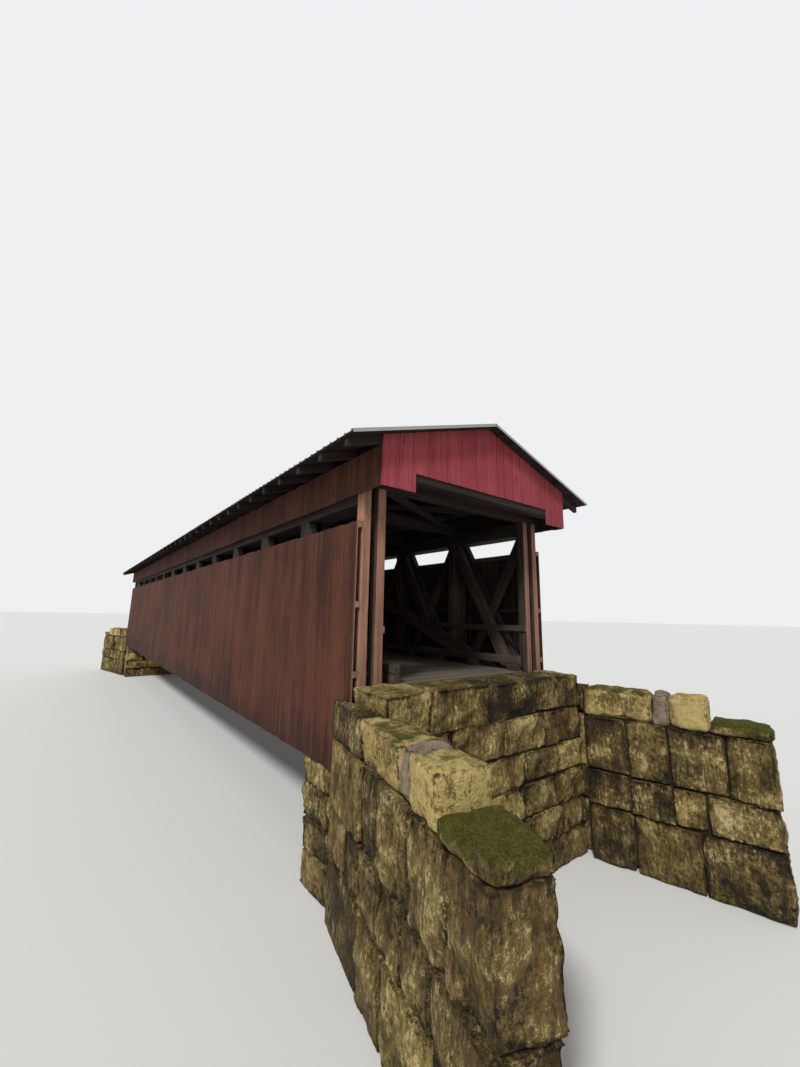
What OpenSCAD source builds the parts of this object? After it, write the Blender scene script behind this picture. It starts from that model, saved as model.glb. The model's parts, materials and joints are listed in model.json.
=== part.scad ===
/* [Trusses] */
// Length of the trusses, between the outer faces of the portal posts
truss_length = 31200; // [26400:600:36000]
// Number of panels in a truss
panel_count = 13; // [9:2:15]
// Clear width between the two trusses
truss_clear = 3970; // [3200:10:5200]
// Thickness of each of the two leaves of a truss
leaf_t = 165; // [120:5:220]
// Gap between the leaves, filled by the counter braces
leaf_gap = 150; // [100:5:200]
// Length of a portal post along the bridge
portal_post_w = 200; // [150:10:300]
// Length of a truss post along the bridge
post_w = 230; // [150:10:300]
// Width of a main brace across its length
brace_w = 260; // [160:10:300]
// Width of a counter brace across its length
counter_w = 200; // [120:10:240]
// Depth of the lower chords
lower_chord_h = 360; // [250:10:450]
// Depth of the upper chords
upper_chord_h = 320; // [220:10:420]
// Top of the upper chords above the road
chord_top_up = 3370; // [3200:10:4200]

/* [Arches] */
// Top of the arches at midspan above the road
arch_crown_up = 3300; // [2700:10:3360]
// Top of the arches at their feet below the road
arch_foot_down = 380; // [300:10:420]
// Depth of the arches, square to their curve
arch_h = 350; // [250:10:360]
// Thickness of the arches, across the bridge
arch_t = 180; // [120:5:220]
// Straight timbers in an arch, two to a panel
arch_pieces = 26; // [18:2:30]
// Joint between two timbers of an arch
arch_joint = 2; // [1:1:5]

/* [Floor] */
// Thickness of the deck planks
deck_t = 80; // [50:5:120]
// Gap between the deck planks and the arches
deck_gap = 15; // [5:5:40]
// Depth of the stringers
stringer_h = 250; // [180:10:320]
// Width of the stringers
stringer_w = 150; // [100:10:200]
// Number of stringers
stringer_count = 7; // [5:1:9]
// Depth of the floor beams
floor_beam_h = 360; // [300:10:450]
// Width of the floor beams
floor_beam_w = 250; // [150:10:300]
// Distance between the two floor beams of a panel
floor_beam_gap = 800; // [600:10:900]
// Width of the wheel guards
guard_w = 150; // [100:10:200]
// Depth of the wheel guards
guard_h = 160; // [100:10:200]
// Height of the blocks under the wheel guards
guard_block_h = 140; // [80:10:180]
// Length of each of those blocks
guard_block_l = 300; // [150:10:500]
// Gap between the wheel guards and the deck's edge
guard_inset = 40; // [20:5:80]
// Underside of the plank rails above the deck
rail_up = 830; // [700:10:1000]
// Depth of the plank rails
rail_h = 130; // [80:10:200]
// Thickness of the plank rails
rail_t = 40; // [25:5:60]

/* [Siding] */
// Thickness of every boarded skin
board_t = 25; // [18:1:40]
// Thickness of the girts, which hold the siding off the truss
girt_t = 90; // [50:5:120]
// Depth of the girts
girt_h = 115; // [80:5:160]
// Undersides of the two middle girts above the road
girt_ups = [140, 1250];
// Top of the lower siding above the road
siding_top_up = 2710; // [2300:10:2900]
// Lower edge of the siding below the road
siding_down = 1336; // [1150:2:1500]
// Lower edge of the upper siding above the road
upper_siding_up = 3180; // [3060:10:3300]

/* [Roof] */
// Depth of the tie beams
tie_h = 300; // [200:10:360]
// Width of the tie beams
tie_w = 200; // [150:10:260]
// Depth of each layer of lateral bracing
lateral_h = 120; // [80:10:140]
// Width of the lateral braces
lateral_w = 120; // [80:10:160]
// Height of the lower layer of lateral bracing above the upper chords
lateral_up = 30; // [10:5:50]
// Width of the wall plates
plate_w = 220; // [150:10:280]
// Height of the wall plates at their outer face
plate_h = 217; // [160:1:300]
// Slope of the roof
roof_pitch = 18; // [12:1:30]
// Width of the roof from eave to eave
roof_w = 6536; // [5800:2:7400]
// Thickness of the roof boards and their metal sheets
roof_t = 35; // [25:1:60]
// How far the roof reaches past the gables
rake_reach = 215; // [100:5:350]
// Depth of the rafters
rafter_h = 150; // [100:5:200]
// Width of the rafters
rafter_w = 90; // [60:5:120]
// Largest distance between two rafters
rafter_step = 900; // [700:10:1200]
// How far the rafter tails stay back from the eave
tail_inset = 40; // [20:5:80]
// Thickness of the ridge board
ridge_board_t = 40; // [30:2:60]
// Width of each wing of the ridge cap
ridge_cap_w = 170; // [120:10:240]
// Thickness of the ridge cap
ridge_cap_t = 4; // [3:1:8]

/* [Gables] */
// How far the gables stand out past the trusses
gable_reach = 700; // [500:10:1000]
// Height of the gables' middle edge above the road
gable_edge_up = 3512; // [3420:2:3600]
// Width of the tab at each lower corner of a gable
gable_tab_w = 700; // [300:10:800]

/* [Stonework] */
// Height of the road above the foot of the stonework
road_up = 3400; // [2600:50:5000]
// Height of the timbers that the lower chords rest on
bed_timber_h = 200; // [120:10:300]
// Width of those timbers along the bridge
bed_timber_w = 400; // [250:10:500]
// Their distance from the back wall and from each other
bed_timber_gap = 200; // [100:10:260]
// Gap between the sides of an abutment and the siding
abutment_gap = 15; // [5:5:60]
// Length of an abutment's seat under the trusses
seat_l = 1600; // [1300:10:2200]
// Thickness of an abutment's back wall
back_wall_t = 900; // [600:10:1200]
// Length of the ledge that the stringers end on
ledge_l = 300; // [200:10:400]
// Length of a wing wall
wing_l = 4500; // [3200:10:4600]
// Thickness of a wing wall
wing_t = 650; // [450:10:800]
// Angle at which a wing wall turns away from the bridge
wing_angle = 14; // [8:0.5:24]
// Distance from the trusses' end to where a wing wall starts
wing_start = 600; // [300:10:900]
// Gap between a wing wall and the siding
wing_gap = 5; // [5:1:20]
// Top of a wing wall below the road
wing_down = 220; // [100:10:500]
// Length of the lower stretch at a wing wall's end
wing_end_l = 850; // [500:10:1400]
// Top of that stretch below the road
wing_end_down = 550; // [400:10:1200]

/* [Hidden] */

// Heights, stacked down from the road
deck_z = road_up - deck_t;
stringer_z = deck_z - stringer_h;
floor_beam_z = stringer_z - floor_beam_h;
lower_chord_z = floor_beam_z - lower_chord_h;
seat_z = lower_chord_z - bed_timber_h;
siding_z = road_up - siding_down;
siding_top_z = road_up + siding_top_up;

// Heights, stacked up to the ridge
chord_top_z = road_up + chord_top_up;
upper_chord_z = chord_top_z - upper_chord_h;
tie_top_z = chord_top_z + tie_h;
upper_siding_z = road_up + upper_siding_up;
gable_edge_z = road_up + gable_edge_up;
guard_z = road_up + guard_block_h;

// Places across the bridge
truss_in = truss_clear / 2;
leaf_out = truss_in + leaf_t;
leaf_in = leaf_out + leaf_gap;
truss_out = leaf_in + leaf_t;
girt_out = truss_out + girt_t;
siding_out = girt_out + board_t;
arch_in = truss_in - arch_t;
deck_out = arch_in - deck_gap;
guard_out = deck_out - guard_inset;
abutment_out = girt_out - abutment_gap;

// Places along the bridge
end_y = truss_length / 2;
panel = truss_length / panel_count;
gable_back_y = end_y + gable_reach - board_t;
roof_y = end_y + gable_reach + rake_reach;

// The roof's slope, and heights above a place x across the bridge
roof_slope = tan(roof_pitch);
rafter_drop = rafter_h / cos(roof_pitch);
roof_drop = roof_t / cos(roof_pitch);
rafter_under_plate_z = tie_top_z + plate_h;
ridge_z = rafter_under_plate_z + rafter_drop + roof_drop + girt_out * roof_slope;
function roof_top(x) = ridge_z - x * roof_slope;
function roof_under(x) = roof_top(x) - roof_drop;
function rafter_under(x) = roof_under(x) - rafter_drop;

// The arch's curve: its upper and lower edge at a distance y from midspan
arch_rise = arch_crown_up + arch_foot_down;
function arch_top(y) = road_up + arch_crown_up - arch_rise * pow(y / end_y, 2);
function arch_tilt(y) = atan(2 * arch_rise * y / pow(end_y, 2));
function arch_low(y) = arch_top(y) - arch_h / cos(arch_tilt(y));

// Edges of the panels: the faces of the posts on both sides of panel i
function post_y(i) = -end_y + i * panel;
function panel_start(i) = i == 0 ? -end_y + portal_post_w : post_y(i) + post_w / 2;
function panel_end(i) = i == panel_count - 1 ? end_y - portal_post_w : post_y(i + 1) - post_w / 2;
inner_posts = [1 : panel_count - 1];
panels = [0 : panel_count - 1];

// Builds on the left side as drawn for the right, so x counts outwards from the middle
module on_side(side) {
    if (side < 0) mirror([1, 0, 0]) children();
    else children();
}

module at_far_end() {
    mirror([0, 1, 0]) children();
}

module at_both_ends() {
    children();
    at_far_end() children();
}

// A block given by its low and high corners
module block(low, high) {
    translate(low) cube(high - low);
}

// An outline in the plane across the bridge, drawn out from y0 to y1
module across(y0, y1) {
    translate([0, y1, 0]) rotate([90, 0, 0]) linear_extrude(y1 - y0) children();
}

// An outline in the plane along the bridge, with points [y, z], drawn out from x0 to x1
module along(x0, x1) {
    translate([x0, 0, 0]) rotate([90, 0, 90]) linear_extrude(x1 - x0) children();
}

// A bar from one corner of a rectangle to the other, its ends cut to fit both sides of each corner
module diagonal_bar(low, high, width, falls = false) {
    span = high - low;
    tilt = atan2(span[1], span[0]);
    on_flat = width / 2 / sin(tilt);
    on_upright = width / 2 / cos(tilt);
    points = [
        low, low + [on_flat, 0], high - [0, on_upright],
        high, high - [on_flat, 0], low + [0, on_upright]
    ];
    polygon([for (p = points) falls ? [low[0] + high[0] - p[0], p[1]] : p]);
}

module abutment() {
    color("darkkhaki") union() {
        block([-abutment_out, -end_y - back_wall_t, 0], [abutment_out, -end_y + seat_l, seat_z]);
        block([-abutment_out, -end_y - back_wall_t, seat_z], [abutment_out, -end_y, road_up]);
        block([-deck_out, -end_y, seat_z], [deck_out, -end_y + ledge_l, stringer_z]);
    }
}

// A wall whose outer face turns away from the siding, cut back where the abutment and siding are
module wing_wall() {
    clear = siding_out + wing_gap;
    behind = end_y + back_wall_t;
    color("tan") difference() {
        translate([clear, -end_y + wing_start, 0]) rotate([0, 0, wing_angle - 90]) {
            block([0, -wing_t, 0], [wing_l - wing_end_l, 0, road_up - wing_down]);
            block([0, -wing_t, 0], [wing_l, 0, road_up - wing_end_down]);
        }
        block([-abutment_out, -behind, -1], [abutment_out, 0, road_up + 1]);
        block([0, -end_y - wing_gap, -1], [clear, 0, road_up + 1]);
    }
}

module bed_timber_set() {
    for (i = [0, 1]) {
        y = -end_y + bed_timber_gap + i * (bed_timber_w + bed_timber_gap);
        for (side = [-1, 1]) on_side(side)
            block([truss_in, y, seat_z], [truss_out, y + bed_timber_w, lower_chord_z]);
    }
}

module bed_timbers() {
    color("saddlebrown") at_both_ends() bed_timber_set();
}

module lower_chord() {
    color("sienna") block([truss_in, -end_y, lower_chord_z], [truss_out, end_y, floor_beam_z]);
}

module upper_chord() {
    y = end_y - portal_post_w;
    color("sienna") block([truss_in, -y, upper_chord_z], [truss_out, y, chord_top_z]);
}

// Both leaves of the post at each end of a truss
module portal_posts() {
    color("rosybrown") at_both_ends() for (x = [truss_in, leaf_in])
        block([x, -end_y, floor_beam_z], [x + leaf_t, -end_y + portal_post_w, chord_top_z]);
}

module truss_posts() {
    color("peru") for (i = inner_posts)
        block([truss_in, post_y(i) - post_w / 2, floor_beam_z],
            [truss_out, post_y(i) + post_w / 2, upper_chord_z]);
}

// A brace in panel i, which leans to midspan unless it counters
module panel_brace(i, x, t, width, counters) {
    leans_back = i > (panel_count - 1) / 2;
    along(x, x + t) diagonal_bar([panel_start(i), floor_beam_z], [panel_end(i), upper_chord_z],
        width, falls = leans_back != counters);
}

module main_braces() {
    color("peru") for (i = panels, x = [truss_in, leaf_in]) panel_brace(i, x, leaf_t, brace_w, false);
}

module counter_braces() {
    color("peru") for (i = panels) panel_brace(i, leaf_out, leaf_gap, counter_w, true);
}

// An arch of straight timbers butted end to end, whose feet stand against the back walls
module arch() {
    function station(i) = end_y * (2 * i / arch_pieces - 1);
    color("burlywood") along(arch_in, truss_in) for (i = [0 : arch_pieces - 1]) {
        start = station(i) + (i == 0 ? 0 : arch_joint / 2);
        end = station(i + 1) - (i == arch_pieces - 1 ? 0 : arch_joint / 2);
        polygon([[start, arch_top(start)], [end, arch_top(end)], [end, arch_low(end)],
            [start, arch_low(start)]]);
    }
}

module girts() {
    chord_girt = lower_chord_z + (lower_chord_h - girt_h) / 2;
    rows = concat([chord_girt], [for (up = girt_ups) road_up + up], [siding_top_z - girt_h]);
    color("saddlebrown") for (z = rows) block([truss_out, -end_y, z], [girt_out, end_y, z + girt_h]);
}

module siding() {
    color("#7a4a3c") block([girt_out, -end_y, siding_z], [siding_out, end_y, siding_top_z]);
}

module upper_siding() {
    color("#7a4a3c") block([girt_out, -gable_back_y, upper_siding_z],
        [siding_out, gable_back_y, rafter_under(siding_out)]);
}

// Two floor beams a panel, apart from where an arch comes down through the floor
module floor_beams() {
    reach = truss_out;
    color("sienna") for (i = panels, s = [-1, 1]) {
        y = post_y(i) + panel / 2 + s * floor_beam_gap / 2;
        if (abs(y) < end_y - panel / 2)
            block([-reach, y - floor_beam_w / 2, floor_beam_z], [reach, y + floor_beam_w / 2, stringer_z]);
    }
}

module stringers() {
    reach = deck_out - stringer_w / 2;
    color("sienna") for (i = [0 : stringer_count - 1]) {
        x = reach * (2 * i / (stringer_count - 1) - 1);
        block([x - stringer_w / 2, -end_y, stringer_z], [x + stringer_w / 2, end_y, deck_z]);
    }
}

module deck() {
    color("tan") block([-deck_out, -end_y, deck_z], [deck_out, end_y, road_up]);
}

// Blocks along both edges of the deck, two to a panel, that lift the wheel guards off it
module guard_blocks() {
    last = panel_count * 2;
    color("sienna") for (side = [-1, 1], i = [0 : last]) on_side(side) {
        y = (end_y - guard_block_l / 2) * (2 * i / last - 1);
        block([guard_out - guard_w, y - guard_block_l / 2, road_up],
            [guard_out, y + guard_block_l / 2, guard_z]);
    }
}

module wheel_guards() {
    color("sienna") for (side = [-1, 1]) on_side(side)
        block([guard_out - guard_w, -end_y, guard_z], [guard_out, end_y, guard_z + guard_h]);
}

// A plank on the truss's inner face from the portal post to where the arch crosses it
module plank_rails() {
    z = road_up + rail_up;
    meets_arch = end_y * sqrt((arch_crown_up - rail_up) / arch_rise);
    color("rosybrown") at_both_ends() for (side = [-1, 1]) on_side(side)
        block([truss_in - rail_t, -end_y, z], [truss_in, -meets_arch, z + rail_h]);
}

// Centre of tie beam i, of which the two last stand over the portal posts
function tie_y(i) = i == 0 ? -end_y + tie_w / 2 : i == panel_count ? end_y - tie_w / 2 : post_y(i);

module tie_beams() {
    color("saddlebrown") for (i = [0 : panel_count])
        block([-girt_out, tie_y(i) - tie_w / 2, chord_top_z], [girt_out, tie_y(i) + tie_w / 2, tie_top_z]);
}

// One diagonal in each bay between tie beams, flat, at height z above the upper chords
module lateral_layer(z, falls) {
    color("peru") for (i = panels)
        translate([0, 0, chord_top_z + z]) linear_extrude(lateral_h)
            diagonal_bar([-truss_in, tie_y(i) + tie_w / 2], [truss_in, tie_y(i + 1) - tie_w / 2],
                lateral_w, falls = falls);
}

module lower_lateral_braces() {
    lateral_layer(lateral_up, false);
}

module upper_lateral_braces() {
    lateral_layer(lateral_up + lateral_h, true);
}

// A timber on the tie beams' ends, its top cut to the roof's slope
module wall_plate() {
    inner = girt_out - plate_w;
    color("saddlebrown") across(-gable_back_y, gable_back_y)
        polygon([[inner, tie_top_z], [girt_out, tie_top_z], [girt_out, rafter_under(girt_out)],
            [inner, rafter_under(inner)]]);
}

// Rafters evenly apart from gable to gable, from the ridge board to the eave
module rafters() {
    first = gable_back_y - rafter_w / 2;
    gaps = ceil(2 * first / rafter_step);
    foot = roof_w / 2 - tail_inset;
    top = ridge_board_t / 2;
    color("saddlebrown") for (i = [0 : gaps]) {
        y = first * (2 * i / gaps - 1);
        across(y - rafter_w / 2, y + rafter_w / 2)
            polygon([[top, rafter_under(top)], [foot, rafter_under(foot)],
                [foot, roof_under(foot)], [top, roof_under(top)]]);
    }
}

module ridge_board() {
    half = ridge_board_t / 2;
    low = rafter_under(half);
    color("saddlebrown") across(-gable_back_y, gable_back_y)
        polygon([[-half, low], [half, low], [half, roof_under(half)], [0, roof_under(0)],
            [-half, roof_under(half)]]);
}

module roof() {
    eave = roof_w / 2;
    color("silver") across(-roof_y, roof_y)
        polygon([[0, roof_under(0)], [eave, roof_under(eave)], [eave, roof_top(eave)], [0, roof_top(0)]]);
}

module ridge_cap() {
    drop = ridge_cap_t / cos(roof_pitch);
    reach = ridge_cap_w * cos(roof_pitch);
    color("gray") across(-roof_y, roof_y)
        polygon([[-reach, roof_top(reach)], [0, ridge_z], [reach, roof_top(reach)],
            [reach, roof_top(reach) + drop], [0, ridge_z + drop], [-reach, roof_top(reach) + drop]]);
}

module gable() {
    tab = siding_out - gable_tab_w;
    side = [[tab, gable_edge_z], [tab, upper_siding_z], [siding_out, upper_siding_z],
        [siding_out, roof_under(siding_out)]];
    other = [for (i = [len(side) - 1 : -1 : 0]) [-side[i][0], side[i][1]]];
    color("#a8443a") across(-gable_back_y - board_t, -gable_back_y)
        polygon(concat(side, [[0, roof_under(0)]], other));
}

module gable_beam() {
    color("saddlebrown") block([-girt_out, -gable_back_y, chord_top_z],
        [girt_out, -gable_back_y + tie_w, tie_top_z]);
}

abutment();  // near_abutment
at_far_end() abutment();  // far_abutment
on_side(-1) wing_wall();  // near_left_wing_wall
on_side(1) wing_wall();  // near_right_wing_wall
at_far_end() on_side(-1) wing_wall();  // far_left_wing_wall
at_far_end() on_side(1) wing_wall();  // far_right_wing_wall
bed_timbers();
on_side(-1) lower_chord();  // left_lower_chord
on_side(1) lower_chord();  // right_lower_chord
on_side(-1) upper_chord();  // left_upper_chord
on_side(1) upper_chord();  // right_upper_chord
on_side(-1) portal_posts();  // left_portal_posts
on_side(1) portal_posts();  // right_portal_posts
on_side(-1) truss_posts();  // left_truss_posts
on_side(1) truss_posts();  // right_truss_posts
on_side(-1) main_braces();  // left_main_braces
on_side(1) main_braces();  // right_main_braces
on_side(-1) counter_braces();  // left_counter_braces
on_side(1) counter_braces();  // right_counter_braces
on_side(-1) arch();  // left_arch
on_side(1) arch();  // right_arch
on_side(-1) girts();  // left_girts
on_side(1) girts();  // right_girts
on_side(-1) siding();  // left_siding
on_side(1) siding();  // right_siding
on_side(-1) upper_siding();  // left_upper_siding
on_side(1) upper_siding();  // right_upper_siding
floor_beams();
stringers();
deck();
guard_blocks();
wheel_guards();
plank_rails();
tie_beams();
lower_lateral_braces();
upper_lateral_braces();
on_side(-1) wall_plate();  // left_wall_plate
on_side(1) wall_plate();  // right_wall_plate
on_side(-1) rafters();  // left_rafters
on_side(1) rafters();  // right_rafters
ridge_board();
on_side(-1) roof();  // left_roof
on_side(1) roof();  // right_roof
ridge_cap();
gable();  // near_gable
at_far_end() gable();  // far_gable
gable_beam();  // near_gable_beam
at_far_end() gable_beam();  // far_gable_beam
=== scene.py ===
"""Looks for a timber covered bridge: its boards, timbers, stones, roof sheets and ironwork."""

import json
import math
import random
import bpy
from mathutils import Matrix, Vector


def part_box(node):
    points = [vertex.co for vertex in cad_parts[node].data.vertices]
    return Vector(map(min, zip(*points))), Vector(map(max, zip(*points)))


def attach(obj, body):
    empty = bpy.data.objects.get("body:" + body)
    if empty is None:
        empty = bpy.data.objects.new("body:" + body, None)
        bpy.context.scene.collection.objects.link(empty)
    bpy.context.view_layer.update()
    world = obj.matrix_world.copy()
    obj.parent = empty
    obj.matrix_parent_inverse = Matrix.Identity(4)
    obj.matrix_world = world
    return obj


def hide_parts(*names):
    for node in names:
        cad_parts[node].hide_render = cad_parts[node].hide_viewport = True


bl_info = {
    "name": "Covered Bridge",
    "version": (1, 0, 0),
    "blender": (4, 5, 0),
    "location": "View3D > Sidebar > Bridge",
    "description": "Dresses a timber covered bridge in sawn boards, rough stones and ribbed roof sheets",
    "category": "Object",
}

from types import SimpleNamespace

import bmesh
import bpy
import numpy as np
from bpy.props import FloatProperty, FloatVectorProperty, IntProperty, PointerProperty
from mathutils import Matrix, Vector, noise

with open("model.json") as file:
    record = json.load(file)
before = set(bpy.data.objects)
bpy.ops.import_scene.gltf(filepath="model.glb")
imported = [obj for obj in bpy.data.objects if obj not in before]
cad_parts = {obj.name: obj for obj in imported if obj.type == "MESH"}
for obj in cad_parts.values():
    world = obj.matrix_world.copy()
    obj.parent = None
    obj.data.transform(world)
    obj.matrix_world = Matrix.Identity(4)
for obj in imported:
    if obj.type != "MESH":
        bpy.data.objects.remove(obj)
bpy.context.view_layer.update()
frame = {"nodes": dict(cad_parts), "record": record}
SLOTS = {part["node"]: part["material_slot"] for part in frame["record"]["subparts"]}

X = Vector((1, 0, 0))
Y = Vector((0, 1, 0))
Z = Vector((0, 0, 1))
SIDES = {"left": -1, "right": 1}
ENDS = {"near": -1, "far": 1}

# Places closer than this count as one.
NEAR = 0.001

# Without a seed, noise_vector differs from run to run.
noise.seed_set(1)


def tint(code):
    """A colour written as six hex digits, in the linear values that Blender takes."""
    parts = [int(code[i : i + 2], 16) / 255 for i in (0, 2, 4)]
    return tuple(p / 12.92 if p <= 0.04045 else ((p + 0.055) / 1.055) ** 2.4 for p in parts)


def length(name, text, size):
    """A property that holds a length in metres."""
    return FloatProperty(name=name, description=text, default=size, min=0, unit="LENGTH")


def angle(name, text, degrees):
    """A property that holds an angle."""
    return FloatProperty(name=name, description=text, default=math.radians(degrees), unit="ROTATION")


def amount(name, text, number):
    """A property that holds a plain number."""
    return FloatProperty(name=name, description=text, default=number, min=0)


def colour(name, text, code):
    """A property that holds a colour."""
    shade = tint(code)
    return FloatVectorProperty(name=name, description=text, default=shade, min=0, max=1, subtype="COLOR")


class BridgeTimber(bpy.types.PropertyGroup):
    """How the heavy timbers are worked."""

    chamfer: length("Chamfer", "Width of the worn edges", 0.009)
    step: length("Step", "Distance between the points where a face wavers", 0.5)
    wobble: length("Wobble", "How far the faces waver", 0.004)
    splice_short: length("Shortest Stick", "Shortest stick in a long timber", 6.2)
    splice_long: length("Longest Stick", "Longest stick in a long timber", 8.6)
    joint: length("Joint", "Gap at a splice and between the sticks of a chord", 0.004)


class BridgeBoards(bpy.types.PropertyGroup):
    """How the boarded skins and the deck are laid."""

    siding_narrow: length("Narrow Siding", "Width of the narrowest siding board", 0.2)
    siding_wide: length("Wide Siding", "Width of the widest siding board", 0.3)
    siding_gap: length("Siding Gap", "Gap between siding boards", 0.005)
    siding_ragged: length("Ragged Ends", "How unevenly the siding boards end", 0.009)
    siding_cup: length("Relief", "How far a siding or gable board stands out", 0.004)
    plank_narrow: length("Narrow Plank", "Width of the narrowest deck plank", 0.19)
    plank_wide: length("Wide Plank", "Width of the widest deck plank", 0.23)
    plank_gap: length("Plank Gap", "Gap between deck planks", 0.007)
    gable_gap: length("Gable Gap", "Gap between gable boards", 0.01)
    roof_narrow: length("Narrow Roof Board", "Width of the narrowest roof board", 0.17)
    roof_wide: length("Wide Roof Board", "Width of the widest roof board", 0.25)
    roof_gap: length("Roof Gap", "Gap between roof boards", 0.008)
    roof_t: length("Roof Board Thickness", "Thickness of the roof boards", 0.02)
    roof_slack: length("Roof Slack", "Room between the roof boards and the sheets", 0.004)
    chamfer: length("Board Chamfer", "Width of a board's worn edges", 0.0025)
    nail_head: length("Nail Head", "Radius of a nail's head", 0.0075)
    nail_proud: length("Nail Proud", "How far a nail stands proud of its board", 0.003)
    nail_sunk: length("Nail Sunk", "How far a nail's head reaches into its board", 0.006)
    nail_stray: length("Nail Stray", "How far a nail strays from its row", 0.014)
    nail_edge: length("Nail Edge", "Distance from a board's end to its nails", 0.11)


class BridgeRoof(bpy.types.PropertyGroup):
    """The roof's metal."""

    sheet_w: length("Sheet Width", "Width that one roof sheet covers", 0.69)
    ribs: IntProperty(name="Ribs", description="Ribs on one roof sheet", default=3, min=2)
    rib_h: length("Rib Height", "Height of a rib", 0.019)
    rib_w: length("Rib Width", "Width of a rib at its foot", 0.046)
    gauge: length("Gauge", "Thickness of the sheet metal, with its paint", 0.0015)
    drip: length("Drip", "How far a sheet reaches past the eave", 0.02)
    trim_h: length("Trim Height", "Height of the folded trim along the gable's edge", 0.05)
    trim_w: length("Trim Width", "Width of that trim on top of the roof", 0.07)
    cap_l: length("Cap Length", "Length of one piece of the ridge cap", 3.05)


class BridgeStone(bpy.types.PropertyGroup):
    """The blocks of the abutments and wing walls."""

    joint: length("Joint", "Gap between two blocks", 0.02)
    inset: length("Inset", "How far the blocks' faces lie behind the wall's face", 0.02)
    pillow: length("Pillow", "How far a block's outer face swells at its middle", 0.026)
    rough: length("Roughness", "How far the rough face wavers", 0.05)
    ledges: length("Ledges", "Height of the ledges where a face has split", 0.022)
    chips: length("Chips", "How deep the edges are chipped", 0.06)
    stray: length("Stray", "How far a block's edges waver from a straight line", 0.022)
    skew: length("Skew", "How far a block's corners stray from their place", 0.03)
    bed: length("Bed", "Extra gap over each lower course of the wing walls", 0.014)
    grid: length("Grid", "Distance between the points of a block's face", 0.058)
    round: length("Rounding", "Radius of a block's worn edges", 0.03)
    core: length("Core Inset", "How far the dark filling lies behind the blocks' faces", 0.11)


class BridgePaint(bpy.types.PropertyGroup):
    """Colours of the finishes."""

    gable: colour("Gable", "Barn red on the gables", "87333b")
    gable_worn: colour("Worn Gable", "Faded red on the gables", "9f494e")
    siding: colour("Siding", "Brown-red stain on the siding", "301710")
    siding_worn: colour("Worn Siding", "Faded stain on the siding", "5f3524")
    portal: colour("Portal", "Thin stain on the portal posts", "845a49")
    portal_worn: colour("Worn Portal", "Faded stain on the portal posts", "a87e68")
    timber: colour("Timber", "Unpainted timber in the shade", "1f1a17")
    timber_light: colour("Light Timber", "Worn faces of unpainted timber", "5c5045")
    # Darker than the other timber: painted shade under the roof and inside the siding.
    shaded_loft: colour("Roof Timber", "Timber under the roof", "1b1613")
    shaded_loft_pale: colour("Light Roof Timber", "Worn faces of the timber under the roof", "3a322c")
    deck: colour("Deck", "Worn deck planks", "474038")
    deck_light: colour("Light Deck", "Wheel-worn deck planks", "7b7265")
    # Also laid over wood that is darker by height, which up in the roof is painted shade.
    crack_and_shade: colour("Crack", "Inside of cracks and joints", "14100d")
    # Also laid in the low spots of the stone as painted shade.
    stone_dark: colour("Dark Stone", "Damp grey-green stone", "37321f")
    stone: colour("Stone", "Plain stone", "8c7544")
    stone_light: colour("Light Stone", "Dry ochre stone", "e8cd82")
    stone_pale: colour("Pale Stone", "Fresh breaks in the stone", "efdca0")
    stone_rust: colour("Rusty Stone", "Iron stains in the stone", "7d5a33")
    stone_soot: colour("Stained Stone", "Dark weathering on the stone", "28251a")
    stone_grey: colour("Grey Stone", "Bare grey stone", "baab98")
    moss: colour("Moss", "Moss in the shade", "3b3f11")
    moss_light: colour("Light Moss", "Moss in the light", "7f7e26")
    roof: colour("Roof", "Dull metal of the roof", "85857f")
    roof_light: colour("Light Roof", "Clean metal of the roof", "a6a7a2")
    rust: colour("Rust", "Rust on the roof and ironwork", "5f3a20")
    iron: colour("Iron", "Dark ironwork", "332c29")


class BridgeView(bpy.types.PropertyGroup):
    """The camera and the light."""

    camera: FloatVectorProperty(
        name="Camera",
        description="Place of the camera",
        default=(-6.289, -21.62, 4.55),
        subtype="TRANSLATION",
        unit="LENGTH",
    )
    yaw: angle("Yaw", "Turn of the camera to the right of the road", 37.532)
    pitch: angle("Pitch", "Rise of the camera", 10.843)
    roll: angle("Roll", "Lean of the camera", 1.087)
    lens: amount("Lens", "Focal length for a 36 mm long side, in millimetres", 14.33)
    sun: amount("Sun", "Strength of the soft sun", 2.6)
    sky: amount("Sky", "Strength of the sky's light", 0.5)
    backdrop: colour("Backdrop", "Pale backdrop that the camera sees", "eef0f2")
    floor: colour("Floor", "Pale floor", "d9d9d6")


class Value:
    """A shader socket that Python's operators work on, with a Math node for each."""

    def __init__(self, finish, socket):
        self.finish = finish
        self.socket = socket

    def maths(self, operation, *values):
        return self.finish.node("ShaderNodeMath", {"operation": operation}, dict(enumerate(values)))

    def __add__(self, other):
        return self.maths("ADD", self, other)

    def __sub__(self, other):
        return self.maths("SUBTRACT", self, other)

    def __rsub__(self, other):
        return self.maths("SUBTRACT", other, self)

    def __mul__(self, other):
        return self.maths("MULTIPLY", self, other)

    def __pow__(self, other):
        return self.maths("POWER", self, other)

    def __abs__(self):
        return self.maths("ABSOLUTE", self)

    def __mod__(self, other):
        return self.maths("FLOORED_MODULO", self, other)

    def __or__(self, other):
        return self.maths("MAXIMUM", self, other)

    __radd__ = __add__
    __rmul__ = __mul__


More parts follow.
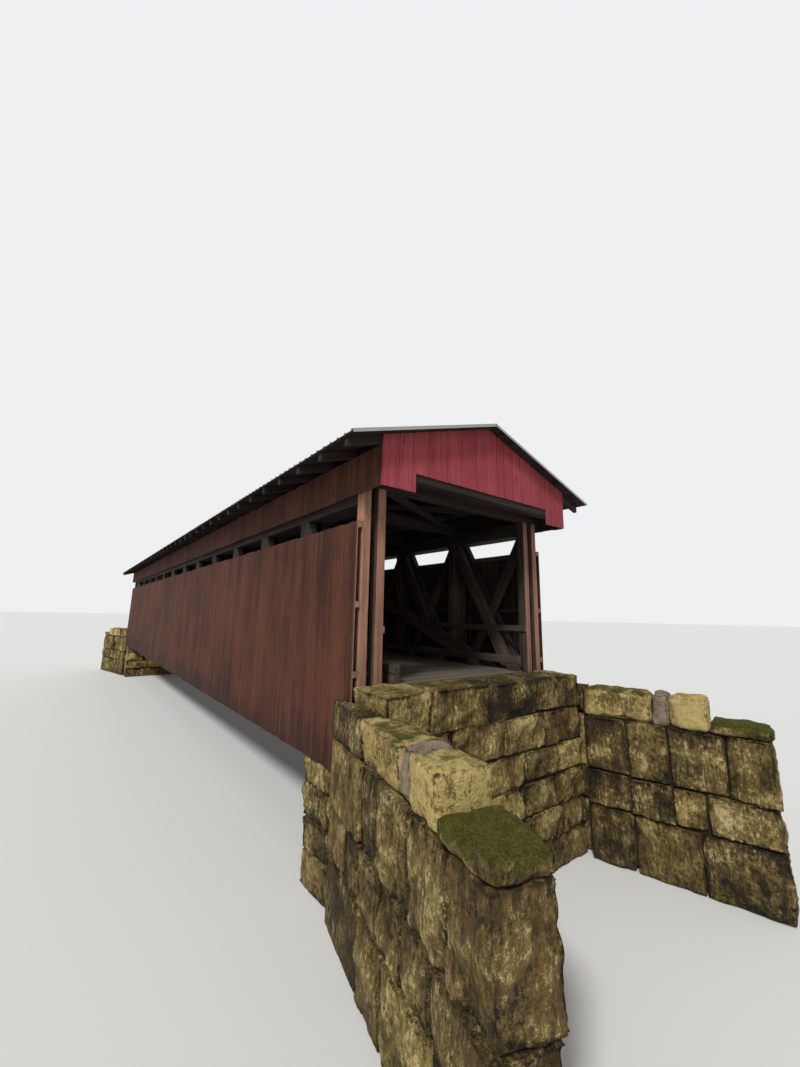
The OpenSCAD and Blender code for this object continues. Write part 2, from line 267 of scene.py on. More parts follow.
class Nodes:
    """A node tree in the making."""

    def __init__(self, owner):
        owner.use_nodes = True
        self.tree = owner.node_tree

    def feed(self, socket, value):
        """Links a socket to a value of the shader, or sets it to a plain one."""
        if isinstance(value, Value):
            self.tree.links.new(value.socket, socket)
        else:
            socket.default_value = (*value, 1) if socket.type == "RGBA" else value

    def node(self, kind, settings, sockets, out=0):
        """Adds a node: its settings first, and then what its sockets hold or are linked to."""
        made = self.tree.nodes.new(kind)
        for name, value in settings.items():
            setattr(made, name, value)
        for key, value in sockets.items():
            self.feed(made.inputs[key], value)
        return Value(self, made.outputs[out])


class Finish(Nodes):
    """A material in the making, with its colour so far and the nodes that colour and relief need."""

    def __init__(self, name, base=None):
        self.material = bpy.data.materials.new(name)
        super().__init__(self.material)
        self.shader = self.tree.nodes["Principled BSDF"]
        self.base = base

    def attribute(self, name, out="Fac"):
        return self.node("ShaderNodeAttribute", {"attribute_name": name}, {}, out)

    def place(self):
        return self.node("ShaderNodeTexCoord", {}, {}, "Object")

    def normal(self):
        return self.node("ShaderNodeNewGeometry", {}, {}, "Normal")

    def parts(self, vector):
        """The three numbers of a vector."""
        return [self.node("ShaderNodeSeparateXYZ", {}, {0: vector}, i) for i in range(3)]

    def vector(self, *numbers):
        return self.node("ShaderNodeCombineXYZ", {}, dict(enumerate(numbers)))

    def scaled(self, vector, factors):
        return self.node("ShaderNodeVectorMath", {"operation": "MULTIPLY"}, {0: vector, 1: factors})

    def clouds(self, vector, scale, detail, roughness=0.55):
        """Noise with one scale, or with one for each of the three directions."""
        if isinstance(scale, tuple):
            vector = self.scaled(vector, scale)
            scale = 1
        sockets = {"Vector": vector, "Scale": scale, "Detail": detail, "Roughness": roughness}
        return self.node("ShaderNodeTexNoise", {}, sockets)

    def fade(self, value, start, end):
        """0 before start, 1 after end, and smooth between; start may be the larger."""
        sockets = {"Value": value, "From Min": start, "From Max": end}
        return self.node("ShaderNodeMapRange", {"interpolation_type": "SMOOTHSTEP"}, sockets)

    def mottle(self, vector, scale, detail=4, roughness=0.62):
        """Clouds with the contrast drawn out, from 0 to 1."""
        return self.fade(self.clouds(vector, scale, detail, roughness), 0.34, 0.66)

    def outward(self, least):
        """1 on faces that look out of the bridge from further out than least, and 0 on the others."""
        sockets = {0: self.normal(), 1: self.scaled(self.place(), (1, 0.15, 0))}
        facing = self.node("ShaderNodeVectorMath", {"operation": "DOT_PRODUCT"}, sockets, 1)
        return self.fade(facing, least - 0.1, least + 0.2)

    def blend(self, factor, first, second):
        """Goes from the first colour to the second."""
        return self.node("ShaderNodeMix", {"data_type": "RGBA"}, {0: factor, 6: first, 7: second}, 2)

    def coat(self, cover, colour):
        """Lays a colour over the one so far, as thick as cover says."""
        self.base = self.blend(cover, self.base, colour)

    def done(self, roughness, height, relief, metallic=0.0, gloss=0.2):
        """Sets the shader and gives the finished material."""
        inputs = self.shader.inputs
        inputs["Specular IOR Level"].default_value = gloss
        self.feed(inputs["Base Color"], self.base)
        self.feed(inputs["Roughness"], roughness)
        self.feed(inputs["Metallic"], metallic)
        self.feed(inputs["Normal"], self.node("ShaderNodeBump", {}, {"Height": height, "Distance": relief}))
        return self.material


DARKENING_LIFT = 0.6


def wood_finish(paint, name, wood, stain=None, cover=(0.7, 0.9), least=0.0, darkening=None, edges=None):
    """Rough-sawn wood along the grain attribute, in a dark and a light colour.

    stain holds the plain and the faded colour of the faces that look out from further than least from
    the middle of the bridge, and cover says where it has worn off. The pair of heights after least holds
    the height at which the wood is darkest and the one at which it is still light: up in the roof this
    darkening is painted shade, and low on the siding it only makes the wood darker towards the bottom.
    edges is the colour of the faces that look along the bridge.
    """
    finish = Finish(name)
    place = finish.place()
    grain = finish.attribute("grain", "Vector")
    tone = finish.attribute("tone")
    along, across, deep = finish.parts(grain)
    waver = finish.clouds(grain, (0.75, 4.5, 4.5), 2)
    radius = (across * across + deep * deep) ** 0.5 + waver * 0.04
    rings = finish.mottle(finish.vector(radius * 95, along * 0.5, tone * 40), 1, 2)
    fibres = finish.mottle(grain, (3, 110, 110), 3)
    streaks = finish.mottle(grain, (0.4, 13, 13))
    patches = finish.mottle(grain, (0.7, 2.2, 2.2))
    weather = finish.mottle(place, (0.9, 0.45, 0.5))
    splits = abs(finish.clouds(grain, (0.7, 19, 19), 2) - 0.5)
    cracks = finish.fade(splits, 0.014, 0.003) * finish.fade(patches, 0.35, 0.8)

    shade = rings * 0.22 + fibres * 0.16 + streaks * 0.27 + patches * 0.15 + tone * 0.3
    finish.base = finish.blend(finish.fade(shade, 0.12, 0.98), *wood)
    if stain:
        worn = streaks * 0.3 + weather * 0.24 + patches * 0.2 + fibres * 0.14 + rings * 0.06 + tone * 0.2
        bare = finish.fade(rings * 0.18 + streaks * 0.36 + patches * 0.32 + fibres * 0.14, *cover)
        stained = finish.blend(finish.fade(worn, 0.2, 1.0), *stain)
        finish.coat(finish.outward(least) * (1 - bare * 0.6), stained)
    if edges:
        turned = finish.parts(finish.normal())[1]
        finish.coat(finish.fade(abs(turned), 0.8, 0.95) * 0.7, edges)
    # Darker by height: painted shade up in the roof, and a plain darkening towards the bottom of the siding.
    if darkening:
        # The clouds add about DARKENING_LIFT to the height, and make the dark part's edge ragged.
        level = finish.parts(place)[2] + streaks * 0.55 + weather * 0.5 + tone * 0.2
        dark, light = (height + DARKENING_LIFT for height in darkening)
        finish.coat(finish.fade(level, light, dark) * 0.62, paint.crack_and_shade)
    finish.coat(cracks * (0.45 if stain else 0.8), paint.crack_and_shade)
    relief = rings * 0.3 + fibres * 0.35 + streaks * 0.25 - cracks * 1.6
    return finish.done(0.72 + fibres * 0.16, relief, 0.0028)


def stone_finish(paint):
    """Split sandstone: a tone for each block, painted shade in its hollows and paler worn crests, stains,
    and moss on what faces up.

    The mossy attribute is how much moss a block has, or -1 on a bare grey block.
    """
    finish = Finish("Rough stone")
    place = finish.place()
    tone = finish.attribute("tone")
    hollows = finish.attribute("relief") - 0.5
    rim = finish.attribute("rim")
    mossy = finish.attribute("mossy")
    up = finish.parts(finish.normal())[2]
    height = finish.parts(place)[2]
    warmth = (tone * 7.31) % 1.0
    drifts = finish.mottle(place, 1.1)
    blotches = finish.mottle(place, 4.5, 6, 0.68)
    pits = finish.mottle(place, 15, 6, 0.7)
    grit = finish.mottle(place, 60, 4, 0.7)
    beds = finish.mottle(place, (1.5, 1.5, 15), 5)
    tooling = finish.mottle(place, (24, 24, 7), 4, 0.7)
    runs = finish.mottle(place, (7, 7, 0.9), 5, 0.65)

    mottled = drifts * 0.1 + blotches * 0.22 + pits * 0.36 + grit * 0.14 + beds * 0.1 + tooling * 0.28
    # Darker where the face lies low and paler where it stands out: painted shade in the hollows, and worn
    # crests.
    shade = tone * 0.55 + mottled + hollows * 1.1
    finish.base = finish.blend(finish.fade(shade, 0.25, 0.8), paint.stone_dark, paint.stone)
    finish.coat(finish.fade(shade, 0.74, 1.5), paint.stone_light)
    crests = pits * 0.4 + tooling * 0.35 + grit * 0.15 + hollows
    finish.coat(finish.fade(crests, 0.52, 0.85) * 0.7, paint.stone_pale)
    # Darker in the low spots and pits: painted shade.
    finish.coat(finish.fade(crests, 0.34, 0.14) * 0.5, paint.stone_dark)
    finish.coat(finish.fade(mossy, -0.3, -0.9) * (0.5 + mottled * 0.4), paint.stone_grey)
    rusty = finish.fade(blotches * 0.5 + beds * 0.2 + warmth * 0.5, 0.6, 1.1)
    finish.coat(rusty * 0.55, paint.stone_rust)
    sooty = runs * 0.45 + blotches * 0.3 + pits * 0.2 - hollows * 0.4 - tone * 0.28
    finish.coat(finish.fade(sooty, 0.36, 0.75) * 0.7, paint.stone_soot)
    dirt = finish.fade(rim + pits * 0.06 + blotches * 0.04, 0.085, 0.025)
    finish.coat(dirt * 0.7, paint.crack_and_shade)
    # Darker towards the bottom.
    darkening = finish.fade(height + drifts * 0.5 + blotches * 0.3, 1.2, 0.3)
    finish.coat(darkening * 0.5, paint.stone_soot)
    lichen = finish.fade(blotches * 0.6 + pits * 0.4 - up * 0.1, 0.72, 0.86)
    finish.coat(lichen * finish.fade(drifts, 0.4, 0.9) * 0.45, paint.moss_light)
    shelter = up * 0.6 + drifts * 0.15 + blotches * 0.3 + pits * 0.1 + mossy * 0.5
    growth = finish.fade(shelter, 0.85, 1.1)
    finish.coat(growth * 0.9, finish.blend(grit * 0.6 + pits * 0.4, paint.moss, paint.moss_light))
    bumps = blotches * 0.7 + pits * 0.9 + grit * 0.3 + beds * 0.3 + tooling * 0.4
    return finish.done(0.9, bumps + growth * (grit * 0.6), 0.028)


def filling_finish(paint):
    """Dark earth and old mortar deep in the joints."""
    finish = Finish("Joint filling", paint.crack_and_shade)
    lumps = finish.clouds(finish.place(), 22, 4)
    finish.coat(lumps, paint.stone_dark)
    return finish.done(0.95, lumps, 0.01)


def roof_finish(paint):
    """Dull zinc-coated sheet with streaks down the slope and rust where it has worn."""
    finish = Finish("Ribbed roof metal", paint.roof)
    place = finish.place()
    tone = finish.attribute("tone")
    streaks = finish.mottle(place, (0.8, 9, 0.8), 6, 0.7)
    drifts = finish.mottle(place, (0.7, 0.9, 0.7), 6, 0.65)
    spangle = finish.clouds(place, 45, 2)
    rust = finish.fade(streaks * 0.45 + drifts * 0.55 + spangle * 0.12, 0.8, 1.1)
    finish.coat(streaks * 0.15 + drifts * 0.35 + tone * 0.5, paint.roof_light)
    finish.coat(rust * 0.8, paint.rust)
    return finish.done(0.58 + spangle * 0.12 + rust * 0.2, spangle, 0.0006, 0.2 - rust * 0.2, 0.3)


def iron_finish(paint):
    """Black iron gone to rust."""
    finish = Finish("Rusty iron", paint.iron)
    blotches = finish.clouds(finish.place(), 28, 5)
    finish.coat(finish.fade(blotches, 0.4, 0.65), paint.rust)
    return finish.done(0.6 + blotches * 0.3, blotches, 0.0015, 0.3)


# Heights at which wood is darkest and at which it is still light: painted shade up in the roof, and a
# plain darkening towards the bottom of the siding.
ROOF_SHADE = (6.1, 5.2)
SIDING_FOOT = (2.0, 3.1)
# Faces of the posts that lie nearer than this to the middle of the bridge have no stain. This leaves the
# inner leaf's outer side face dark: partly bare wood and partly painted shadow from the outer leaf.
POST_STAIN = 2.2


def make_finishes(paint):
    """The finish of each material slot in the record, of the joints and of the iron."""
    timber = (paint.timber, paint.timber_light)
    shaded_loft = (paint.shaded_loft, paint.shaded_loft_pale)
    portal = (paint.portal, paint.portal_worn)
    siding = (paint.siding, paint.siding_worn)
    gable = (paint.gable, paint.gable_worn)
    deck = (paint.deck, paint.deck_light)
    return {
        "rough_stone": stone_finish(paint),
        # The truss timber is darker high up: painted shade under the roof.
        "truss_timber": wood_finish(paint, "Truss timber", timber, darkening=ROOF_SHADE),
        "arch_timber": wood_finish(paint, "Arch timber", timber),
        "roof_timber": wood_finish(paint, "Roof timber", shaded_loft),
        "portal_timber": wood_finish(
            paint, "Stained portal timber", timber, portal, (0.7, 0.95), POST_STAIN
        ),
        # The siding's unstained inner faces take the roof timber's dark colours: painted shade inside the
        # bridge.
        "weathered_siding": wood_finish(
            paint, "Weathered siding", shaded_loft, siding, darkening=SIDING_FOOT, edges=paint.portal_worn
        ),
        "red_gable_boards": wood_finish(paint, "Red gable boards", timber, gable, (0.85, 0.99)),
        "deck_planks": wood_finish(paint, "Deck planks", deck),
        "roof_metal": roof_finish(paint),
        "filling": filling_finish(paint),
        "iron": iron_finish(paint),
    }


FINISHES = {}


def finish_of(slot):
    """The finish of a slot, made when it is first asked for."""
    if not FINISHES:
        FINISHES.update(make_finishes(bpy.context.scene.bridge_paint))
    return FINISHES[slot]


class Stack:
    """Loose solids gathered into one piece, with numbers at each point for the finish."""

    def __init__(self):
        self.points = []
        self.faces = []
        self.slots = []
        self.smooth = []
        self.numbers = {"tone": [], "mossy": [], "relief": [], "rim": []}
        self.grain = []

    def add(self, points, faces, grain=None, slot=0, smooth=False, **numbers):
        """Adds one solid from its points and faces, with one number for all points or one for each."""
        first = len(self.points)
        self.points.extend(points)
        self.faces.extend([first + i for i in face] for face in faces)
        self.slots.extend([slot] * len(faces))
        self.smooth.extend([smooth] * len(faces))
        for key, values in self.numbers.items():
            values.extend(np.broadcast_to(numbers.get(key, 0.5), len(points)))
        self.grain.extend(grain or points)

    def add_mesh(self, solid, **what):
        """Adds one solid from a bmesh, which is then freed."""
        solid.verts.index_update()
        points = [tuple(v.co) for v in solid.verts]
        faces = [[v.index for v in face.verts] for face in solid.faces]
        self.add(points, faces, **what)
        solid.free()

    def piece(self, name, slots, node=None, slot=None):
        """Makes the object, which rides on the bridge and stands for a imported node, if one is given."""
        mesh = bpy.data.meshes.new(name)
        mesh.from_pydata(self.points, [], self.faces)
        for key, values in self.numbers.items():
            mesh.attributes.new(key, "FLOAT", "POINT").data.foreach_set("value", values)
        flat = np.array(self.grain, np.float32).ravel()
        mesh.attributes.new("grain", "FLOAT_VECTOR", "POINT").data.foreach_set("vector", flat)
        for finish in slots:
            mesh.materials.append(finish_of(finish))
        mesh.polygons.foreach_set("material_index", self.slots)
        mesh.polygons.foreach_set("use_smooth", self.smooth)
        piece = bpy.data.objects.new(name, mesh)
        bpy.context.scene.collection.objects.link(piece)
        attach(piece, "root")
        if node:
            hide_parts(node)


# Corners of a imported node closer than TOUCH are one, and faces that turn by less than FLAT are one. A
# cut takes up corners closer than HAIR to it.
TOUCH = 1e-5
FLAT = math.radians(0.5)
HAIR = 1e-6


def solids_of(node):
    """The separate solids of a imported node, each as a bmesh of whole flat faces."""
    whole = bmesh.new()
    whole.from_mesh(frame["nodes"][node].data)
    bmesh.ops.remove_doubles(whole, verts=whole.verts, dist=TOUCH)
    bmesh.ops.dissolve_limit(whole, angle_limit=FLAT, verts=whole.verts, edges=whole.edges)
    seen = set()
    solids = []
    for seed in whole.verts:
        if seed in seen:
            continue
        group = [seed]
        seen.add(seed)
        for vert in group:
            for edge in vert.link_edges:
                other = edge.other_vert(vert)
                if other not in seen:
                    seen.add(other)
                    group.append(other)
        solid = bmesh.new()
        copies = {vert: solid.verts.new(vert.co) for vert in group}
        for face in dict.fromkeys(face for vert in group for face in vert.link_faces):
            solid.faces.new([copies[vert] for vert in face.verts])
        solids.append(solid)
    whole.free()
    return sorted(solids, key=lambda s: tuple(round(c, 3) for c in middle(s).yxz))


def corners_of(node):
    """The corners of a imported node's first solid."""
    solid = solids_of(node)[0]
    corners = [vert.co.copy() for vert in solid.verts]
    solid.free()
    return corners


def middle(solid):
    """The middle of a solid's box."""
    places = np.array([vert.co for vert in solid.verts])
    return Vector((places.min(0) + places.max(0)) / 2)


def reach(solid, direction):
    """The lowest and highest distance that a solid reaches along a direction."""
    places = [vert.co.dot(direction) for vert in solid.verts]
    return min(places), max(places)


def grain_of(solid):
    """The direction of a solid's longest edge."""
    edge = max(solid.edges, key=lambda e: e.calc_length())
    run = (edge.verts[1].co - edge.verts[0].co).normalized()
    return -run if max(run, key=abs) < 0 else run


def cut_at(solid, direction, place, drop=False):
    """Cuts a solid's skin at a distance along a direction, and may drop what lies beyond."""
    return bmesh.ops.bisect_plane(
        solid,
        geom=solid.verts[:] + solid.edges[:] + solid.faces[:],
        dist=HAIR,
        plane_co=direction * place,
        plane_no=direction,
        clear_outer=drop,
    )


def cut_off(solid, direction, place):
    """Cuts a solid at a distance along a direction and drops what lies beyond, closing the cut."""
    cut = cut_at(solid, direction, place, drop=True)
    edges = [e for e in cut["geom_cut"] if isinstance(e, bmesh.types.BMEdge)]
    if edges:
        bmesh.ops.contextual_create(solid, geom=edges)


def saw(solid, direction, joints, gap):
    """Cuts a solid into pieces at distances along a direction, and frees it."""
    low, high = reach(solid, direction)
    bounds = [low - gap, *[j for j in joints if low + gap < j < high - gap], high + gap]
    pieces = []
    for start, end in zip(bounds, bounds[1:]):
        piece = solid.copy()
        cut_off(piece, direction, end - gap / 2)
        cut_off(piece, -direction, -(start + gap / 2))
        pieces.append(piece)
    solid.free()
    return pieces


def joints_between(low, high, narrow, wide, rng):
    """Distances at which boards of uneven width meet."""
    places = []
    place = low + rng.uniform(narrow, wide)
    while place < high - narrow:
        places.append(place)
        place += rng.uniform(narrow, wide)
    return places


def lay(stack, solid, along, rng, chamfer, step, wobble, heart=0.04):
    """Works a sawn solid's edges and faces, and puts it on the stack with its grain.

    Its faces waver by wobble at points a step apart, and its pith lies up to heart from its middle.
    """
    side = along.cross(Z if abs(along.z) < 0.8 else X).normalized()
    up = side.cross(along)
    centre = middle(solid)
    low, high = reach(solid, along)
    bmesh.ops.bevel(solid, geom=solid.edges[:], offset=chamfer, segments=1, profile=0.5, affect="EDGES")
    count = max(1, round((high - low) / step))
    for i in range(1, count):
        cut_at(solid, along, low + (high - low) * i / count)
    seed = Vector([rng.uniform(-50, 50) for _ in range(3)])
    start = rng.uniform(0, 60)
    pith = (rng.uniform(-heart, heart), rng.uniform(-heart, heart))
    grain = []
    for vert in solid.verts:
        away = vert.co - centre
        grain.append((away.dot(along) + start, away.dot(side) + pith[0], away.dot(up) + pith[1]))
        shift = noise.noise_vector(vert.co * 1.1 + seed) + noise.noise_vector(vert.co * 5 + seed) * 0.35
        vert.co += (shift - along * shift.dot(along)) * wobble
    stack.add_mesh(solid, tone=rng.random(), grain=grain)


def nudge(solid, direction, ragged, rng):
    """Moves both ends of a board a little, so that a row of boards ends unevenly."""
    low, high = reach(solid, direction)
    shifts = [rng.uniform(-1, 1) * ragged for _ in range(2)]
    for vert in solid.verts:
        place = vert.co.dot(direction)
        if place - low < NEAR:
            vert.co += direction * shifts[0]
        elif high - place < NEAR:
            vert.co += direction * shifts[1]


def slide(solid, direction, distance):
    """Moves a whole solid."""
    for vert in solid.verts:
        vert.co += direction * distance


# Places of the two nails across a board, and the width of a nail's head on top, as shares.
NAIL_SHARES = (0.22, 0.78)
NAIL_TOP = 0.8


def nail_head(stack, boards, spot, out):
    """A flat six-sided head, a little proud of the face that looks along out."""
    side = out.cross(Z)
    turns = [math.radians(60 * i) for i in range(6)]
    ring = [Z * math.cos(turn) + side * math.sin(turn) for turn in turns]
    points = [tuple(spot - out * boards.nail_sunk + r * boards.nail_head) for r in ring]
    points += [tuple(spot + out * boards.nail_proud + r * boards.nail_head * NAIL_TOP) for r in ring]
    faces = [[i, (i + 1) % 6, (i + 1) % 6 + 6, i + 6] for i in range(6)]
    stack.add(points, [*faces, list(range(6, 12)), list(range(5, -1, -1))], slot=1)


def nail_board(stack, boards, board, across, out, heights, rng):
    """Two nails side by side at each height, on the face of a board that looks along out."""
    low, high = reach(board, across)
    face = reach(board, out)[1]
    for height in heights:
        for share in NAIL_SHARES:
            place = low + (high - low) * share + rng.uniform(-1, 1) * boards.nail_stray
            level = height + rng.uniform(-1, 1) * boards.nail_stray
            nail_head(stack, boards, across * place + out * face + Z * level, out)


PLAIN_TIMBERS = (
    "bed_timbers", "floor_beams", "stringers", "guard_blocks", "wheel_guards", "plank_rails",
    "tie_beams", "lower_lateral_braces", "upper_lateral_braces", "ridge_board",
    "near_gable_beam", "far_gable_beam",
)
PAIRED_TIMBERS = (
    "portal_posts", "truss_posts", "main_braces", "counter_braces", "girts", "wall_plate", "rafters",
)


def work_timbers(context, node, rng, slot=None, across=None, spliced=True):
    """Splices the solids of a node where they are long, and works each stick.

    across, where it is given, turns the direction of a solid's grain into the one in which the two
    sticks that make it up lie side by side.
    """
    timber = context.scene.bridge_timber
    stack = Stack()
    for solid in solids_of(node):
        along = grain_of(solid)
        sticks = [solid]
        if across:
            apart = across(along)
            sticks = saw(solid, apart, [middle(solid).dot(apart)], timber.joint)
        for stick in sticks:
            lengths = [stick]
            if spliced:
                places = joints_between(*reach(stick, along), timber.splice_short, timber.splice_long, rng)
                lengths = saw(stick, along, places, timber.joint)
            for part in lengths:
                lay(stack, part, along, rng, timber.chamfer, timber.step, timber.wobble)
    stack.piece(f"sawn_{node}", [slot or SLOTS[node]], node)


class BRIDGE_OT_timbers(bpy.types.Operator):
    """Works the truss, floor and roof timbers"""

    bl_idname = "bridge.timbers"
    bl_label = "Timbers"

    def execute(self, context):
        paired = [f"{side}_{name}" for side in SIDES for name in PAIRED_TIMBERS]
        for number, node in enumerate([*PLAIN_TIMBERS, *paired]):
            work_timbers(context, node, random.Random(number), "portal_timber" if "girts" in node else None)
        return {"FINISHED"}


class BRIDGE_OT_chords(bpy.types.Operator):
    """Builds each chord from two lines of spliced sticks"""

    bl_idname = "bridge.chords"
    bl_label = "Chords"

    def execute(self, context):
        for number, side in enumerate(SIDES):
            for level in ("lower", "upper"):
                rng = random.Random(100 + number)
                work_timbers(context, f"{side}_{level}_chord", rng, across=lambda along: X)
        return {"FINISHED"}


class BRIDGE_OT_arches(bpy.types.Operator):
    """Builds each arch from straight timbers of two planks on edge, one over the other"""

    bl_idname = "bridge.arches"
    bl_label = "Arches"

    def execute(self, context):
        for number, side in enumerate(SIDES):
            rng = random.Random(200 + number)
            work_timbers(context, f"{side}_arch", rng, across=lambda along: along.cross(X), spliced=False)
        return {"FINISHED"}


# How each kind of board is worked: its step, its wobble, and how far off its pith may lie.
SIDING_WORK = (0.8, 0.004, 0.25)
GABLE_WORK = (0.6, 0.003, 0.25)
PLANK_WORK = (0.6, 0.003, 0.2)
ROOF_WORK = (1.1, 0.002, 0.2)


class BRIDGE_OT_siding(bpy.types.Operator):
    """Boards both sides below and above the light band"""

    bl_idname = "bridge.siding"
    bl_label = "Siding"

    def execute(self, context):
        boards = context.scene.bridge_boards
        for number, (side, sign) in enumerate(SIDES.items()):
            for level in ("siding", "upper_siding"):
                rng = random.Random(300 + number)
                node = f"{side}_{level}"
                stack = Stack()
                for skin in solids_of(node):
                    rows = nail_rows(boards, skin, side)
                    places = joints_between(*reach(skin, Y), boards.siding_narrow, boards.siding_wide, rng)
                    for board in saw(skin, Y, places, boards.siding_gap):
                        nudge(board, Z, boards.siding_ragged, rng)
                        slide(board, X, sign * rng.uniform(0, boards.siding_cup))
                        nail_board(stack, boards, board, Y, X * sign, rows, rng)
                        lay(stack, board, Z, rng, boards.chamfer, *SIDING_WORK)
                stack.piece(f"boarded_{node}", [SLOTS[node], "iron"], node)
        return {"FINISHED"}


def nail_rows(boards, skin, side):
    """The heights of the girts behind a skin, or its two ends where no girt is behind it."""
    low, high = reach(skin, Z)
    girts = sorted({round(middle(girt).z, 3) for girt in solids_of(f"{side}_girts")})
    return [z for z in girts if low < z < high] or [low + boards.nail_edge, high - boards.nail_edge]


# Joints between a gable's boards, to the right of its middle as seen from outside, and how much its
# slanting edge rises on each metre.
GABLE_JOINTS = (
    -2.24, -1.95, -1.57, -1.13, -0.77, -0.37, -0.09, 0.24, 0.46, 0.75, 1.0, 1.34, 1.62, 1.88, 2.07, 2.3,
)
GABLE_SLANT = 0.4


class BRIDGE_OT_gables(bpy.types.Operator):
    """Boards both gables"""

    bl_idname = "bridge.gables"
    bl_label = "Gables"

    def execute(self, context):
        boards = context.scene.bridge_boards
        for number, (end, sign) in enumerate(ENDS.items()):
            rng = random.Random(400 + number)
            node = f"{end}_gable"
            stack = Stack()
            places = [sign * -x for x in GABLE_JOINTS][:: -sign]
            for skin in solids_of(node):
                for board in saw(skin, X, places, boards.gable_gap):
                    slide(board, Y, sign * rng.uniform(0, boards.siding_cup))
                    low, high = reach(board, Z)
                    slant = abs(np.subtract(*reach(board, X))) * GABLE_SLANT
                    rows = (low + boards.nail_edge, high - slant - boards.nail_edge)
                    nail_board(stack, boards, board, X, Y * sign, rows, rng)
                    lay(stack, board, Z, rng, boards.chamfer, *GABLE_WORK)
            stack.piece(f"boarded_{node}", [SLOTS[node], "iron"], node)
        return {"FINISHED"}


# How unevenly the planks end, how far one lies under the next, and the width of their worn edges.
PLANK_RAGGED = 0.008
PLANK_DROP = 0.004
PLANK_CHAMFER = 0.006


class BRIDGE_OT_deck(bpy.types.Operator):
    """Lays the deck planks across the road"""

    bl_idname = "bridge.deck"
    bl_label = "Deck"

    def execute(self, context):
        boards = context.scene.bridge_boards
        rng = random.Random(500)
        stack = Stack()
        for skin in solids_of("deck"):
            places = joints_between(*reach(skin, Y), boards.plank_narrow, boards.plank_wide, rng)
            for plank in saw(skin, Y, places, boards.plank_gap):
                nudge(plank, X, PLANK_RAGGED, rng)
                slide(plank, Z, rng.uniform(-PLANK_DROP, 0))
                lay(stack, plank, X, rng, PLANK_CHAMFER, *PLANK_WORK)
        stack.piece("deck_planks", [SLOTS["deck"]], "deck")
        return {"FINISHED"}


def roof_lines(node):
    """A roof slab's direction up its slope and square to it, its eave and ridge, and its thickness."""
    corners = corners_of(node)
    tops = sorted(corners, key=lambda c: c.z)
    wide = max(abs(c.x) for c in corners)
    eave = max((c for c in tops if abs(abs(c.x) - wide) < NEAR), key=lambda c: c.z)
    ridge = Vector((tops[-1].x, 0, tops[-1].z))
    eave = Vector((eave.x, 0, eave.z))
    slope = (ridge - eave).normalized()
    square = slope.cross(Y)
    square = -square if square.z < 0 else square
    heights = [c.dot(square) for c in corners]
    thick = max(heights) - min(heights)
    return SimpleNamespace(slope=slope, square=square, eave=eave, ridge=ridge, thick=thick)


def fold(stack, line, across, up, start, run, slices, gauge, tone, wave=0.0):
    """A strip of sheet metal, folded along a line of (across, up) places and drawn out along a run."""
    places = np.array(line)
    steps = np.diff(places, axis=0)
    steps /= np.linalg.norm(steps, axis=1)[:, None]
    normals = np.stack([-steps[:, 1], steps[:, 0]], axis=1)
    before = np.vstack([normals[:1], normals])
    after = np.vstack([normals, normals[-1:]])
    corners = before + after
    corners /= (1 + (before * after).sum(1))[:, None]
    ring = np.vstack([places, (places + corners * gauge)[::-1]])
    count = len(ring)
    points = []
    for i in range(slices + 1):
        base = start + run * (i / slices)
        lift = wave * noise.noise(base * 0.7)
        points.extend(tuple(base + across * a + up * (b + lift)) for a, b in ring)
    faces = []
    for first in range(0, slices * count, count):
        for j in range(count):
            k = (j + 1) % count
            faces.append([first + j, first + k, first + count + k, first + count + j])
    for first, turn in ((0, 1), (slices * count, -1)):
        for j in range(len(places) - 1):
            cap = [first + j, first + count - 1 - j, first + count - 2 - j, first + j + 1]
            faces.append(cap[::turn])
    stack.add(points, faces, tone=tone)


# Lengths of the roof boards, and the gap where two meet.
ROOF_BOARD_L = (3.0, 4.4)
ROOF_BUTT = 0.004
# Stretches in which a roof sheet and its trim are drawn, and how far a sheet wavers.
SHEET_SLICES = 6
SHEET_WAVE = 0.002
# The trim: how far it stands off the gable's edge, its lip on the roof, and the kick at its foot.
TRIM_OFF = 0.004
TRIM_LIP = 0.006
TRIM_KICK = 0.008
TRIM_TONE = 0.9


class BRIDGE_OT_roof(bpy.types.Operator):
    """Lays the roof boards, the ribbed sheets and their folded trim"""

    bl_idname = "bridge.roof"
    bl_label = "Roof"

    def execute(self, context):
        for number, side in enumerate(SIDES):
            rng = random.Random(600 + number)
            node = f"{side}_roof"
            lines = roof_lines(node)
            lay_roof_boards(context.scene.bridge_boards, node, lines, rng)
            seat = lines.eave - lines.square * (lines.thick - context.scene.bridge_boards.roof_t)
            lay_sheets(context.scene.bridge_roof, node, lines, seat, rng)
        return {"FINISHED"}


def lay_roof_boards(boards, node, lines, rng):
    """Boards along the bridge, under the sheets."""
    stack = Stack()
    for slab in solids_of(node):
        under = reach(slab, lines.square)[0]
        cut_off(slab, lines.square, under + boards.roof_t - boards.roof_slack)
        places = joints_between(*reach(slab, lines.slope), boards.roof_narrow, boards.roof_wide, rng)
        for row in saw(slab, lines.slope, places, boards.roof_gap):
            butts = joints_between(*reach(row, Y), *ROOF_BOARD_L, rng)
            for board in saw(row, Y, butts, ROOF_BUTT):
                lay(stack, board, Y, rng, boards.chamfer, *ROOF_WORK)
    stack.piece(f"boards_{node}", ["roof_timber"], slot="roof_timber")


